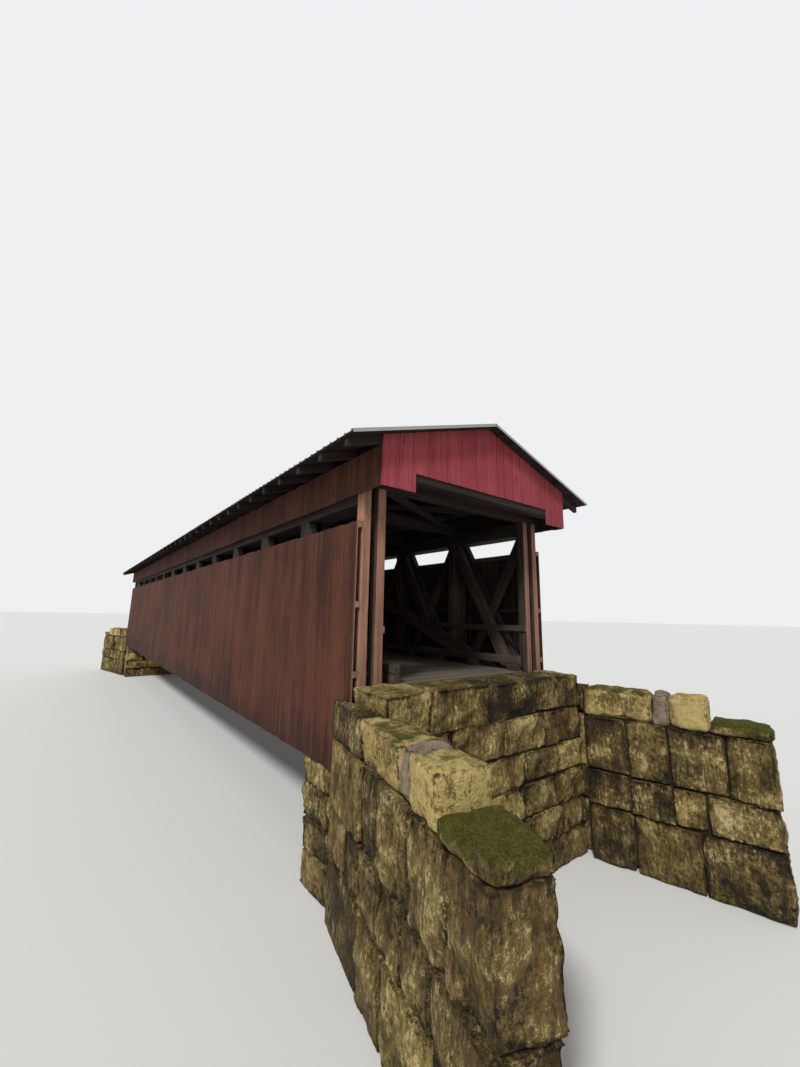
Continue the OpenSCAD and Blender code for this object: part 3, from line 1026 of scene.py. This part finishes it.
def lay_sheets(roof, node, lines, seat, rng):
    """Ribbed sheets down the slope, with their seat on the boards at the eave, and a trim at each end."""
    stack = Stack()
    low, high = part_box(node)
    start = seat - lines.slope * roof.drip
    run = lines.ridge - lines.eave + lines.slope * roof.drip
    count = round((high.y - low.y) / roof.sheet_w)
    width = (high.y - low.y) / count
    section = sheet_section(roof, width)
    for i in range(count):
        place = start + Y * (low.y + i * width) + lines.square * (roof.gauge * (i % 2))
        tone = rng.random()
        fold(stack, section, Y, lines.square, place, run, SHEET_SLICES, roof.gauge, tone, SHEET_WAVE)
    for edge, sign in ((low.y, -1), (high.y, 1)):
        section = trim_section(roof, sign)
        fold(stack, section, Y, lines.square, start + Y * edge, run, SHEET_SLICES, roof.gauge, TRIM_TONE)
    stack.piece(f"sheets_{node}", ["roof_metal"], node)


def sheet_section(roof, width):
    """The outline across one sheet: flats, ribs, and a lap over the next sheet's first rib."""
    rib = ((-1 / 2, 0), (-1 / 4, roof.rib_h), (1 / 4, roof.rib_h), (1 / 2, 0))
    middles = [i * (width / roof.ribs) for i in range(roof.ribs + 1)]
    return [(at + share * roof.rib_w, height) for at in middles for share, height in rib][2:-1]


def trim_section(roof, sign):
    """The outline across the strip that is folded over the roof's edge above a gable."""
    over = roof.rib_h + 2 * roof.gauge
    section = [
        (-sign * roof.trim_w, over - TRIM_LIP),
        (-sign * roof.trim_w, over),
        (sign * TRIM_OFF, over),
        (sign * TRIM_OFF, over - roof.trim_h),
        (sign * (TRIM_OFF + TRIM_KICK), over - roof.trim_h - TRIM_KICK),
    ]
    return section[::-sign]


# The ridge cap: how far it lies over the ridge, the hem at its edges, the half width and rise of its
# bend, the lap between two lengths, and the stretches in which one is drawn.
CAP_OVER = 0.008
CAP_HEM = 0.008
CAP_BEND = 0.03
CAP_CREST = 0.004
CAP_LAP = 0.05
CAP_SLICES = 3


class BRIDGE_OT_ridge_cap(bpy.types.Operator):
    """Folds the ridge cap in lapped lengths"""

    bl_idname = "bridge.ridge_cap"
    bl_label = "Ridge Cap"

    def execute(self, context):
        roof = context.scene.bridge_roof
        rng = random.Random(700)
        stack = Stack()
        low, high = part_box("ridge_cap")
        lines = roof_lines("right_roof")
        fall = abs(lines.slope.z)
        foot = -high.x / abs(lines.slope.x) * fall
        half = [(-high.x, foot - CAP_HEM), (-high.x, foot), (-CAP_BEND, -CAP_BEND * fall), (0, CAP_CREST)]
        section = half + [(-x, z) for x, z in half[-2::-1]]
        count = round((high.y - low.y) / roof.cap_l)
        span = (high.y - low.y) / count
        for i in range(count):
            lap = CAP_LAP if i else 0
            level = lines.ridge.z + CAP_OVER + roof.gauge * (i % 2)
            start = Vector((0, low.y + i * span - lap, level))
            fold(stack, section, X, Z, start, Y * (span + lap), CAP_SLICES, roof.gauge, rng.random())
        stack.piece("folded_ridge_cap", ["roof_metal"], "ridge_cap")
        return {"FINISHED"}


def lattice(counts):
    """The points on the skin of a box of cells, as shares of its sides, and its quads."""
    shape = [c + 1 for c in counts]
    index = np.indices(shape).reshape(3, -1).T
    skin = ((index == 0) | (index == np.array(counts))).any(1)
    ids = np.full(shape, -1)
    ids[tuple(index[skin].T)] = np.arange(skin.sum())
    quads = []
    for axis in range(3):
        for end, turn in ((0, -1), (-1, 1)):
            side = np.take(ids, end, axis=axis)
            quad = np.stack([side[:-1, :-1], side[1:, :-1], side[1:, 1:], side[:-1, 1:]], axis=-1)
            flip = turn if axis != 1 else -turn
            quads.append(quad.reshape(-1, 4)[:, ::flip])
    return index[skin] / np.array(counts), np.vstack(quads)


def blend_corners(corners, shares):
    """What eight corners hold, blended at places inside their box."""
    corners = corners[None]
    for column in range(3):
        share = shares[:, column].reshape(-1, *[1] * (3 - column))
        corners = corners[:, 0] * (1 - share) + corners[:, 1] * share
    return corners


# The range of a block's rounding and swelling, as shares of the usual ones.
ROUNDING = (0.7, 1.5)
SWELLING = (0.3, 1.3)
# The most of a block's least side that is rounded, and of each side that a corner may stray.
MOST_ROUND = 0.35
MOST_SKEW = 0.1
# The length of a facet of its round edges, and the width of the chipped strip beside them.
FACET = 0.035
CHIP_W = 0.09


def split_face(stone, where, edge):
    """How far a split face stands out at a place, and how deep it is chipped so near to an edge."""
    broad = noise.noise(where * 1.5)
    split = noise.noise(where * 2.9 + X * 7) * 2.5
    step = math.floor(split)
    ledge = step + min(1, max(0, (split - step - 0.4) * 5)) - 0.5
    fine = noise.fractal(where * 7, 0.7, 2.2, 3)
    chip = max(0, noise.noise(where * 3.7 - X * 5) + 0.1) * max(0, 1 - edge / CHIP_W) * stone.chips
    return (broad * 0.6 + fine * 0.45) * stone.rough + ledge * stone.ledges, chip


def worn_block(stack, stone, low, high, place, rng, shown, grid, tone, mossy=0.0, worn=1.0):
    """One quarried block between two corners, in the wall's own directions.

    place turns (along, through, up) into the bridge's frame, and shown holds how rough the block's
    low and high side is in each direction: 1 where it shows, and less in a joint. worn is how many
    times rounder its edges are than usual.
    """
    low = np.array(low)
    high = np.array(high)
    size = high - low
    radius = min(stone.round * worn * rng.uniform(*ROUNDING), size.min() * MOST_ROUND)
    bend = max(1, round(radius / FACET))
    counts = [2 * bend + max(2, round((s - 2 * radius) / grid)) for s in size]
    shares, quads = lattice(counts)
    for column, count in enumerate(counts):
        edge = radius / size[column]
        steps = (0, bend, count - bend, count)
        shares[:, column] = np.interp(shares[:, column] * count, steps, (0, edge, 1 - edge, 1))
    at = low + shares * size
    rim = np.sort(np.minimum(at - low, high - at), axis=1)[:, 1]
    inner = np.clip(at, low + radius, high - radius)
    away = at - inner
    away /= np.linalg.norm(away, axis=1)[:, None]
    at = inner + away * radius
    skews = np.array([[rng.uniform(-1, 1) for _ in range(3)] for _ in range(8)]).reshape(2, 2, 2, 3)
    at += blend_corners(skews, shares) * np.minimum(stone.skew, size * MOST_SKEW)
    swell = np.prod(1 - (2 * shares - 1) ** 4, axis=1, where=np.abs(2 * shares - 1) < 0.999)
    swell *= stone.pillow * rng.uniform(*SWELLING)
    seed = Vector([rng.uniform(-40, 40) for _ in range(3)])
    shown = np.array(shown)
    weight = (np.abs(away) * np.where(away < 0, shown[:, 0], shown[:, 1])).sum(1) / np.abs(away).sum(1)
    points = []
    relief = []
    for spot, out, bulge, share, edge in zip(at, away, swell, weight, rim):
        spot = Vector(spot)
        where = spot + seed
        height, chip = split_face(stone, where, edge)
        distance = (height + bulge - stone.inset) * share - chip * max(share, 0.4)
        stray = noise.noise_vector(where * 1.9) + noise.noise_vector(where * 5.3) * 0.5
        spot = place(spot + stray * stone.stray * 0.6 + Vector(out) * distance)
        points.append((spot.x, spot.y, max(spot.z, 0)))
        relief.append(0.5 + (height - chip) * 6)
    stack.add(points, quads.tolist(), smooth=True, tone=tone, mossy=mossy, relief=relief, rim=rim)


def stone_piece(stack, stone, node):
    """Adds the dark filling behind the joints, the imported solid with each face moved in."""
    for solid in solids_of(node):
        solid.normal_update()
        moves = [(v, -v.normal * stone.core * v.calc_shell_factor()) for v in solid.verts]
        for vert, move in moves:
            vert.co += move
        stack.add_mesh(solid, slot=1)
    stack.piece(f"stones_{node}", ["rough_stone", "filling"], node)


# Courses below the seat and above it, the widths of the rows in a course, as shares of its depth, and
# the lengths of the blocks.
SEAT_COURSES = 4
BACK_COURSES = 2
SEAT_ROWS = ((0.62, 1.0, 0.88), (0.95, 0.6, 0.95))
ONE_ROW = ((1.0,),)
BLOCK_L = (0.75, 1.35)
# How rough a block's sides are where they show (along, through and up), and in a joint.
SHOWN = ((1.0,), (1.0,), (0.5,))
IN_JOINT = 0.15
# The ledge is narrower than the abutment by more than this on each side.
LEDGE_INSET = 0.1


class BRIDGE_OT_abutments(bpy.types.Operator):
    """Lays the blocks of both abutments"""

    bl_idname = "bridge.abutments"
    bl_label = "Abutments"

    def execute(self, context):
        stone = context.scene.bridge_stone
        for number, (end, sign) in enumerate(ENDS.items()):
            rng = random.Random(800 + number)
            node = f"{end}_abutment"
            stack = Stack()
            low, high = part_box(node)
            outer_y = low.y if sign < 0 else high.y
            seat, back, wide, deep, top = abutment_levels(node, outer_y, sign)

            def place(spot):
                return Vector((spot.x, outer_y - sign * spot.y, spot.z))

            for xs, ys, zs, courses, rows in (
                ((low.x, high.x), (0, high.y - low.y), (0, seat), SEAT_COURSES, SEAT_ROWS),
                ((low.x, high.x), (0, back), (seat, high.z), BACK_COURSES, ONE_ROW),
                ((-wide, wide), (back, deep), (seat, top), BACK_COURSES, ONE_ROW),
            ):
                lay_region(stack, stone, place, xs, ys, zs, courses, rows, rng)
            stone_piece(stack, stone, node)
        return {"FINISHED"}


def abutment_levels(node, outer_y, sign):
    """The seat's height, the back wall's thickness, and the ledge's half width, reach and top."""
    spots = [(abs(c.x), round(sign * (outer_y - c.y), 4), c.z) for c in corners_of(node)]
    wide, deep, top = (max(part) for part in zip(*spots))
    back = max(y for x, y, z in spots if top - z < NEAR)
    seat = max(z for x, y, z in spots if y > deep - NEAR)
    ledge = [spot for spot in spots if spot[0] < wide - LEDGE_INSET]
    return seat, back, *(max(part) for part in zip(*ledge))


def lay_region(stack, stone, place, xs, ys, zs, courses, rows, rng):
    """Fills a box with courses of blocks, leaving out those that can't be seen."""
    height = (zs[1] - zs[0]) / courses
    gap = stone.joint / 2
    for course in range(courses):
        widths = rows[course % len(rows)]
        scale = (ys[1] - ys[0]) / sum(widths)
        z = zs[0] + course * height
        y = ys[0]
        for row, width in enumerate(widths):
            ends = [xs[0], *joints_between(*xs, *BLOCK_L, rng), xs[1]]
            for i, (start, end) in enumerate(zip(ends, ends[1:])):
                last = len(ends) - 2
                if 0 < row < len(widths) - 1 and 0 < i < last and course < courses - 1:
                    continue
                low = (start + gap, y + gap, z + gap)
                high = (end - gap, y + width * scale - gap, z + height - gap)
                outer = ((i == 0, i == last), (row == 0, row == len(widths) - 1), (0, course == courses - 1))
                shown = np.where(outer, SHOWN, IN_JOINT)
                worn_block(stack, stone, low, high, place, rng, shown, stone.grid, rng.random())
            y += width * scale


# The wing walls' top course: its height, the width, tone and mossy value of its chosen blocks, where
# -1 makes a bare grey one, and their wear.
TOP_COURSE = 0.56
TOP_BLOCKS = ((1.22, 1.5, 0.3), (0.29, 0.8, -1.0), (0.59, 1.7, 0.0))
TOP_WORN = 3.0
# Tone, mossy value and wear of the corner block, of the filler block and of the low end block. The
# corner block's dark tone is partly the stone's own grey-green and partly painted shadow.
CORNER_BLOCK = (0.05, 0.25, 1.2)
FILLER_BLOCK = (0.6, 0.2, 3.0)
END_BLOCK = (0.3, 1.3, 4.0)
# The height of each lower course with its shortest and longest block, and then the lightest tone of
# these blocks, which keeps them darker than the top course as painted shade, and their mossy value and
# wear.
LOWER_COURSES = ((1.0, 0.5, 0.95), (0.62, 0.45, 0.9), (0.55, 0.6, 1.2))
LOWER_SHADED_TONE = 0.75
LOWER_BLOCK = (0.0, 1.3)
# Where the lower courses and the top one start, the room beside the siding at the wall's start, and
# the shortest filler block.
LOWER_START = 0.15
TOP_START = 0.12
START_ROOM = 0.02
LEAST_FILLER = 0.1
# How rough a block's sides are where they show (along, through and up), and in a joint.
WALL_SHOWN = ((1.0,), (1.0,), (0.7,))
WALL_IN_JOINT = ((0.25,), (1.0,), (0.2,))
# The grid of the wall that is nearest to the camera, as a share of the others'.
FINE_GRID = 0.75


class BRIDGE_OT_wing_walls(bpy.types.Operator):
    """Lays the blocks of the four wing walls"""

    bl_idname = "bridge.wing_walls"
    bl_label = "Wing Walls"

    def execute(self, context):
        stone = context.scene.bridge_stone
        for number, (end, side) in enumerate((e, s) for e in ENDS for s in SIDES):
            rng = random.Random(900 + number)
            node = f"{end}_{side}_wing_wall"
            stack = Stack()
            lay_wall(stack, stone, node, ENDS[end], SIDES[side], rng)
            stone_piece(stack, stone, node)
        return {"FINISHED"}


def lay_wall(stack, stone, node, toward, outward, rng):
    """Blocks from the top course down, each as thick as the wall has room for beside the siding."""
    solid = solids_of(node)[0]
    spots = [vert.co.copy() for vert in solid.verts]
    along = grain_of(solid)
    along *= math.copysign(1, along.y * toward)
    solid.free()
    inward = Vector((-along.y, along.x, 0))
    inward *= math.copysign(1, -inward.x * outward)
    first = min(spots, key=lambda c: (round(c.dot(inward), 3), round(c.dot(along), 3)))
    first = Vector((first.x, first.y, 0))
    total = max((c - first).dot(along) for c in spots)
    thick = max((c - first).dot(inward) for c in spots)
    tops = sorted({round(c.z, 4) for c in spots if c.z > NEAR})
    back = (abs(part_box("near_abutment")[0].y) - abs(first.y)) / abs(along.y)
    squeeze = abs(along.x / along.y)
    step = max((c - first).dot(along) for c in spots if abs(c.z - tops[-1]) < NEAR)

    def place(spot):
        room = thick if spot.x > back else min(thick, START_ROOM + spot.x * squeeze)
        return first + along * spot.x + inward * (spot.y * room / thick) + Z * spot.z

    blocks = top_blocks(back, step, total, tops)
    z = tops[-1] - TOP_COURSE
    for course, (height, narrow, wide) in enumerate(LOWER_COURSES):
        bottom = z - height if course < len(LOWER_COURSES) - 1 else 0
        inner = joints_between(LOWER_START, back, narrow, wide, rng)
        outer = joints_between(back, total, narrow, wide, rng)
        ends = [LOWER_START, *inner, back, *outer, total]
        for start, end in zip(ends, ends[1:]):
            # The lower blocks stay darker than the top course: painted shade.
            tone = rng.random() * LOWER_SHADED_TONE
            blocks.append((start, end, bottom, z - stone.bed, tone, *LOWER_BLOCK))
        z = bottom
    grid = stone.grid * (FINE_GRID if toward < 0 and outward < 0 else 1)
    gap = stone.joint / 2
    for start, end, bottom, top, tone, mossy, worn in blocks:
        low = (start + gap, 0, bottom + gap)
        high = (end - gap, thick, top - gap)
        outer = ((0, end > total - NEAR), (1, 1), (0, top > tops[0] - NEAR))
        shown = np.where(outer, WALL_SHOWN, WALL_IN_JOINT)
        worn_block(stack, stone, low, high, place, rng, shown, grid, tone, mossy, worn)


def top_blocks(back, step, total, tops):
    """The top course: a dark corner block, chosen blocks beyond it, and a mossy end lower down."""
    top = tops[-1]
    bottom = top - TOP_COURSE
    blocks = [(TOP_START, back, bottom, top, *CORNER_BLOCK)]
    start = back
    for width, tone, mossy in TOP_BLOCKS:
        end = min(start + width, step)
        blocks.append((start, end, bottom, top, tone, mossy, TOP_WORN))
        start = end
    if step - start > LEAST_FILLER:
        blocks.append((start, step, bottom, top, *FILLER_BLOCK))
    blocks.append((step, total, bottom, tops[0], *END_BLOCK))
    return blocks


# Sides, radius, start and height of a bolt's washer, nut and end.
BOLT = ((4, 0.055, -0.004, 0.01), (6, 0.026, 0.01, 0.022), (10, 0.012, 0.03, 0.02))
# Places of the two bolts where the arch crosses a post, along the bridge and up, and how near to the
# post's middle the corners of the arch lie that give its height there.
BOLT_SPOTS = ((-0.06, 0.1), (0.06, -0.1))
CROSSING = 0.02


class BRIDGE_OT_ironwork(bpy.types.Operator):
    """Sets the bolts that hold the arches to the posts"""

    bl_idname = "bridge.ironwork"
    bl_label = "Ironwork"

    def execute(self, context):
        stack = Stack()
        for side, sign in SIDES.items():
            arch = [v.co.copy() for v in frame["nodes"][f"{side}_arch"].data.vertices]
            face = min(abs(c.x) for c in arch)
            for y in sorted({round(middle(s).y, 3) for s in solids_of(f"{side}_truss_posts")}):
                heights = [c.z for c in arch if abs(c.y - y) < CROSSING]
                centre = (min(heights) + max(heights)) / 2
                for dy, dz in BOLT_SPOTS:
                    set_bolt(stack, Vector((sign * face, y + dy, centre + dz)), -sign)
        stack.piece("arch_bolts", ["iron"], slot="arch_timber")
        return {"FINISHED"}


def set_bolt(stack, place, facing):
    """A square washer, a nut and the end of the bolt, standing out along X."""
    turn = Matrix.Translation(place) @ Matrix.Rotation(facing * math.pi / 2, 4, "Y")
    for sides, radius, start, height in BOLT:
        part = bmesh.new()
        radii = {"radius1": radius, "radius2": radius}
        bmesh.ops.create_cone(part, cap_ends=True, segments=sides, depth=height, **radii)
        spin = Matrix.Rotation(math.pi / 4 if sides == 4 else 0, 4, "Z")
        lift = Matrix.Translation((0, 0, start + height / 2))
        bmesh.ops.transform(part, matrix=turn @ lift @ spin, verts=part.verts)
        stack.add_mesh(part)


# The floor's radius, the sun's turn and width, the long side of the camera's sensor in millimetres,
# and how far the camera sees.
FLOOR_R = 600
SUN_TURN = (math.radians(47), 0, math.radians(-62))
SUN_WIDTH = math.radians(9)
SENSOR = 36
FAR_CLIP = 2000


class BRIDGE_OT_stage(bpy.types.Operator):
    """Sets the floor, the light and the camera"""

    bl_idname = "bridge.stage"
    bl_label = "Stage"

    def execute(self, context):
        view = context.scene.bridge_view
        context.scene.view_settings.view_transform = "Standard"
        lay_floor(view)
        paint_sky(context.scene, view)
        hang_sun(context.scene, view)
        set_camera(context.scene, view)
        return {"FINISHED"}


def lay_floor(view):
    """A wide, plain floor."""
    bpy.ops.mesh.primitive_circle_add(vertices=96, radius=FLOOR_R, fill_type="NGON", location=(0, 0, 0))
    floor = bpy.context.object
    floor.name = "floor"
    finish = Finish("Pale floor")
    finish.feed(finish.shader.inputs["Base Color"], view.floor)
    finish.shader.inputs["Roughness"].default_value = 0.9
    floor.data.materials.append(finish.material)


def paint_sky(scene, view):
    """A plain sky that lights the bridge, and a pale backdrop in what the camera and gloss see."""
    scene.world = bpy.data.worlds.new("Pale sky")
    sky = Nodes(scene.world)
    rays = [f"Is {ray} Ray" for ray in ("Camera", "Glossy", "Transmission")]
    camera, gloss, glass = (sky.node("ShaderNodeLightPath", {}, {}, ray) for ray in rays)
    light = sky.node("ShaderNodeBackground", {}, {"Color": (1, 1, 1), "Strength": view.sky})
    backdrop = sky.node("ShaderNodeBackground", {}, {"Color": view.backdrop, "Strength": 1})
    seen = sky.node("ShaderNodeMixShader", {}, {0: camera | gloss | glass, 1: light, 2: backdrop})
    sky.feed(sky.tree.nodes["World Output"].inputs["Surface"], seen)


def hang_sun(scene, view):
    """One soft sun, from the front and the left."""
    lamp = bpy.data.lights.new("Soft sun", "SUN")
    lamp.energy = view.sun
    lamp.angle = SUN_WIDTH
    sun = bpy.data.objects.new("soft_sun", lamp)
    sun.rotation_euler = SUN_TURN
    scene.collection.objects.link(sun)


def set_camera(scene, view):
    """Sets the camera in its place, turned by its yaw, pitch and roll."""
    lens = bpy.data.cameras.new("Camera")
    lens.sensor_width = SENSOR
    lens.lens = view.lens
    lens.clip_end = FAR_CLIP
    camera = bpy.data.objects.new("camera", lens)
    yaw, pitch, roll = view.yaw, view.pitch, view.roll
    level = math.cos(pitch)
    ahead = Vector((math.sin(yaw) * level, math.cos(yaw) * level, math.sin(pitch)))
    right = Vector((math.cos(yaw), -math.sin(yaw), 0))
    up = right.cross(ahead)
    across = right * math.cos(roll) + up * math.sin(roll)
    above = up * math.cos(roll) - right * math.sin(roll)
    turn = Matrix((across, above, -ahead)).transposed().to_4x4()
    camera.matrix_world = Matrix.Translation(view.camera) @ turn
    scene.collection.objects.link(camera)
    scene.camera = camera


STEPS = (
    BRIDGE_OT_stage,
    BRIDGE_OT_timbers,
    BRIDGE_OT_chords,
    BRIDGE_OT_arches,
    BRIDGE_OT_siding,
    BRIDGE_OT_gables,
    BRIDGE_OT_deck,
    BRIDGE_OT_roof,
    BRIDGE_OT_ridge_cap,
    BRIDGE_OT_abutments,
    BRIDGE_OT_wing_walls,
    BRIDGE_OT_ironwork,
)


class BRIDGE_PT_panel(bpy.types.Panel):
    """Lists the steps that dress the bridge."""

    bl_label = "Covered Bridge"
    bl_idname = "BRIDGE_PT_panel"
    bl_space_type = "VIEW_3D"
    bl_region_type = "UI"
    bl_category = "Bridge"

    def draw(self, context):
        for step in STEPS:
            self.layout.operator(step.bl_idname)


GROUPS = {
    "bridge_timber": BridgeTimber,
    "bridge_boards": BridgeBoards,
    "bridge_roof": BridgeRoof,
    "bridge_stone": BridgeStone,
    "bridge_paint": BridgePaint,
    "bridge_view": BridgeView,
}
CLASSES = (*GROUPS.values(), *STEPS, BRIDGE_PT_panel)


def register():
    for kind in CLASSES:
        bpy.utils.register_class(kind)
    for name, group in GROUPS.items():
        setattr(bpy.types.Scene, name, PointerProperty(type=group))


def unregister():
    for name in GROUPS:
        delattr(bpy.types.Scene, name)
    for kind in reversed(CLASSES):
        bpy.utils.unregister_class(kind)


def main():
    register()
    for step in STEPS:
        area, name = step.bl_idname.split(".")
        getattr(getattr(bpy.ops, area), name)()


if __name__ == "__main__":
    main()
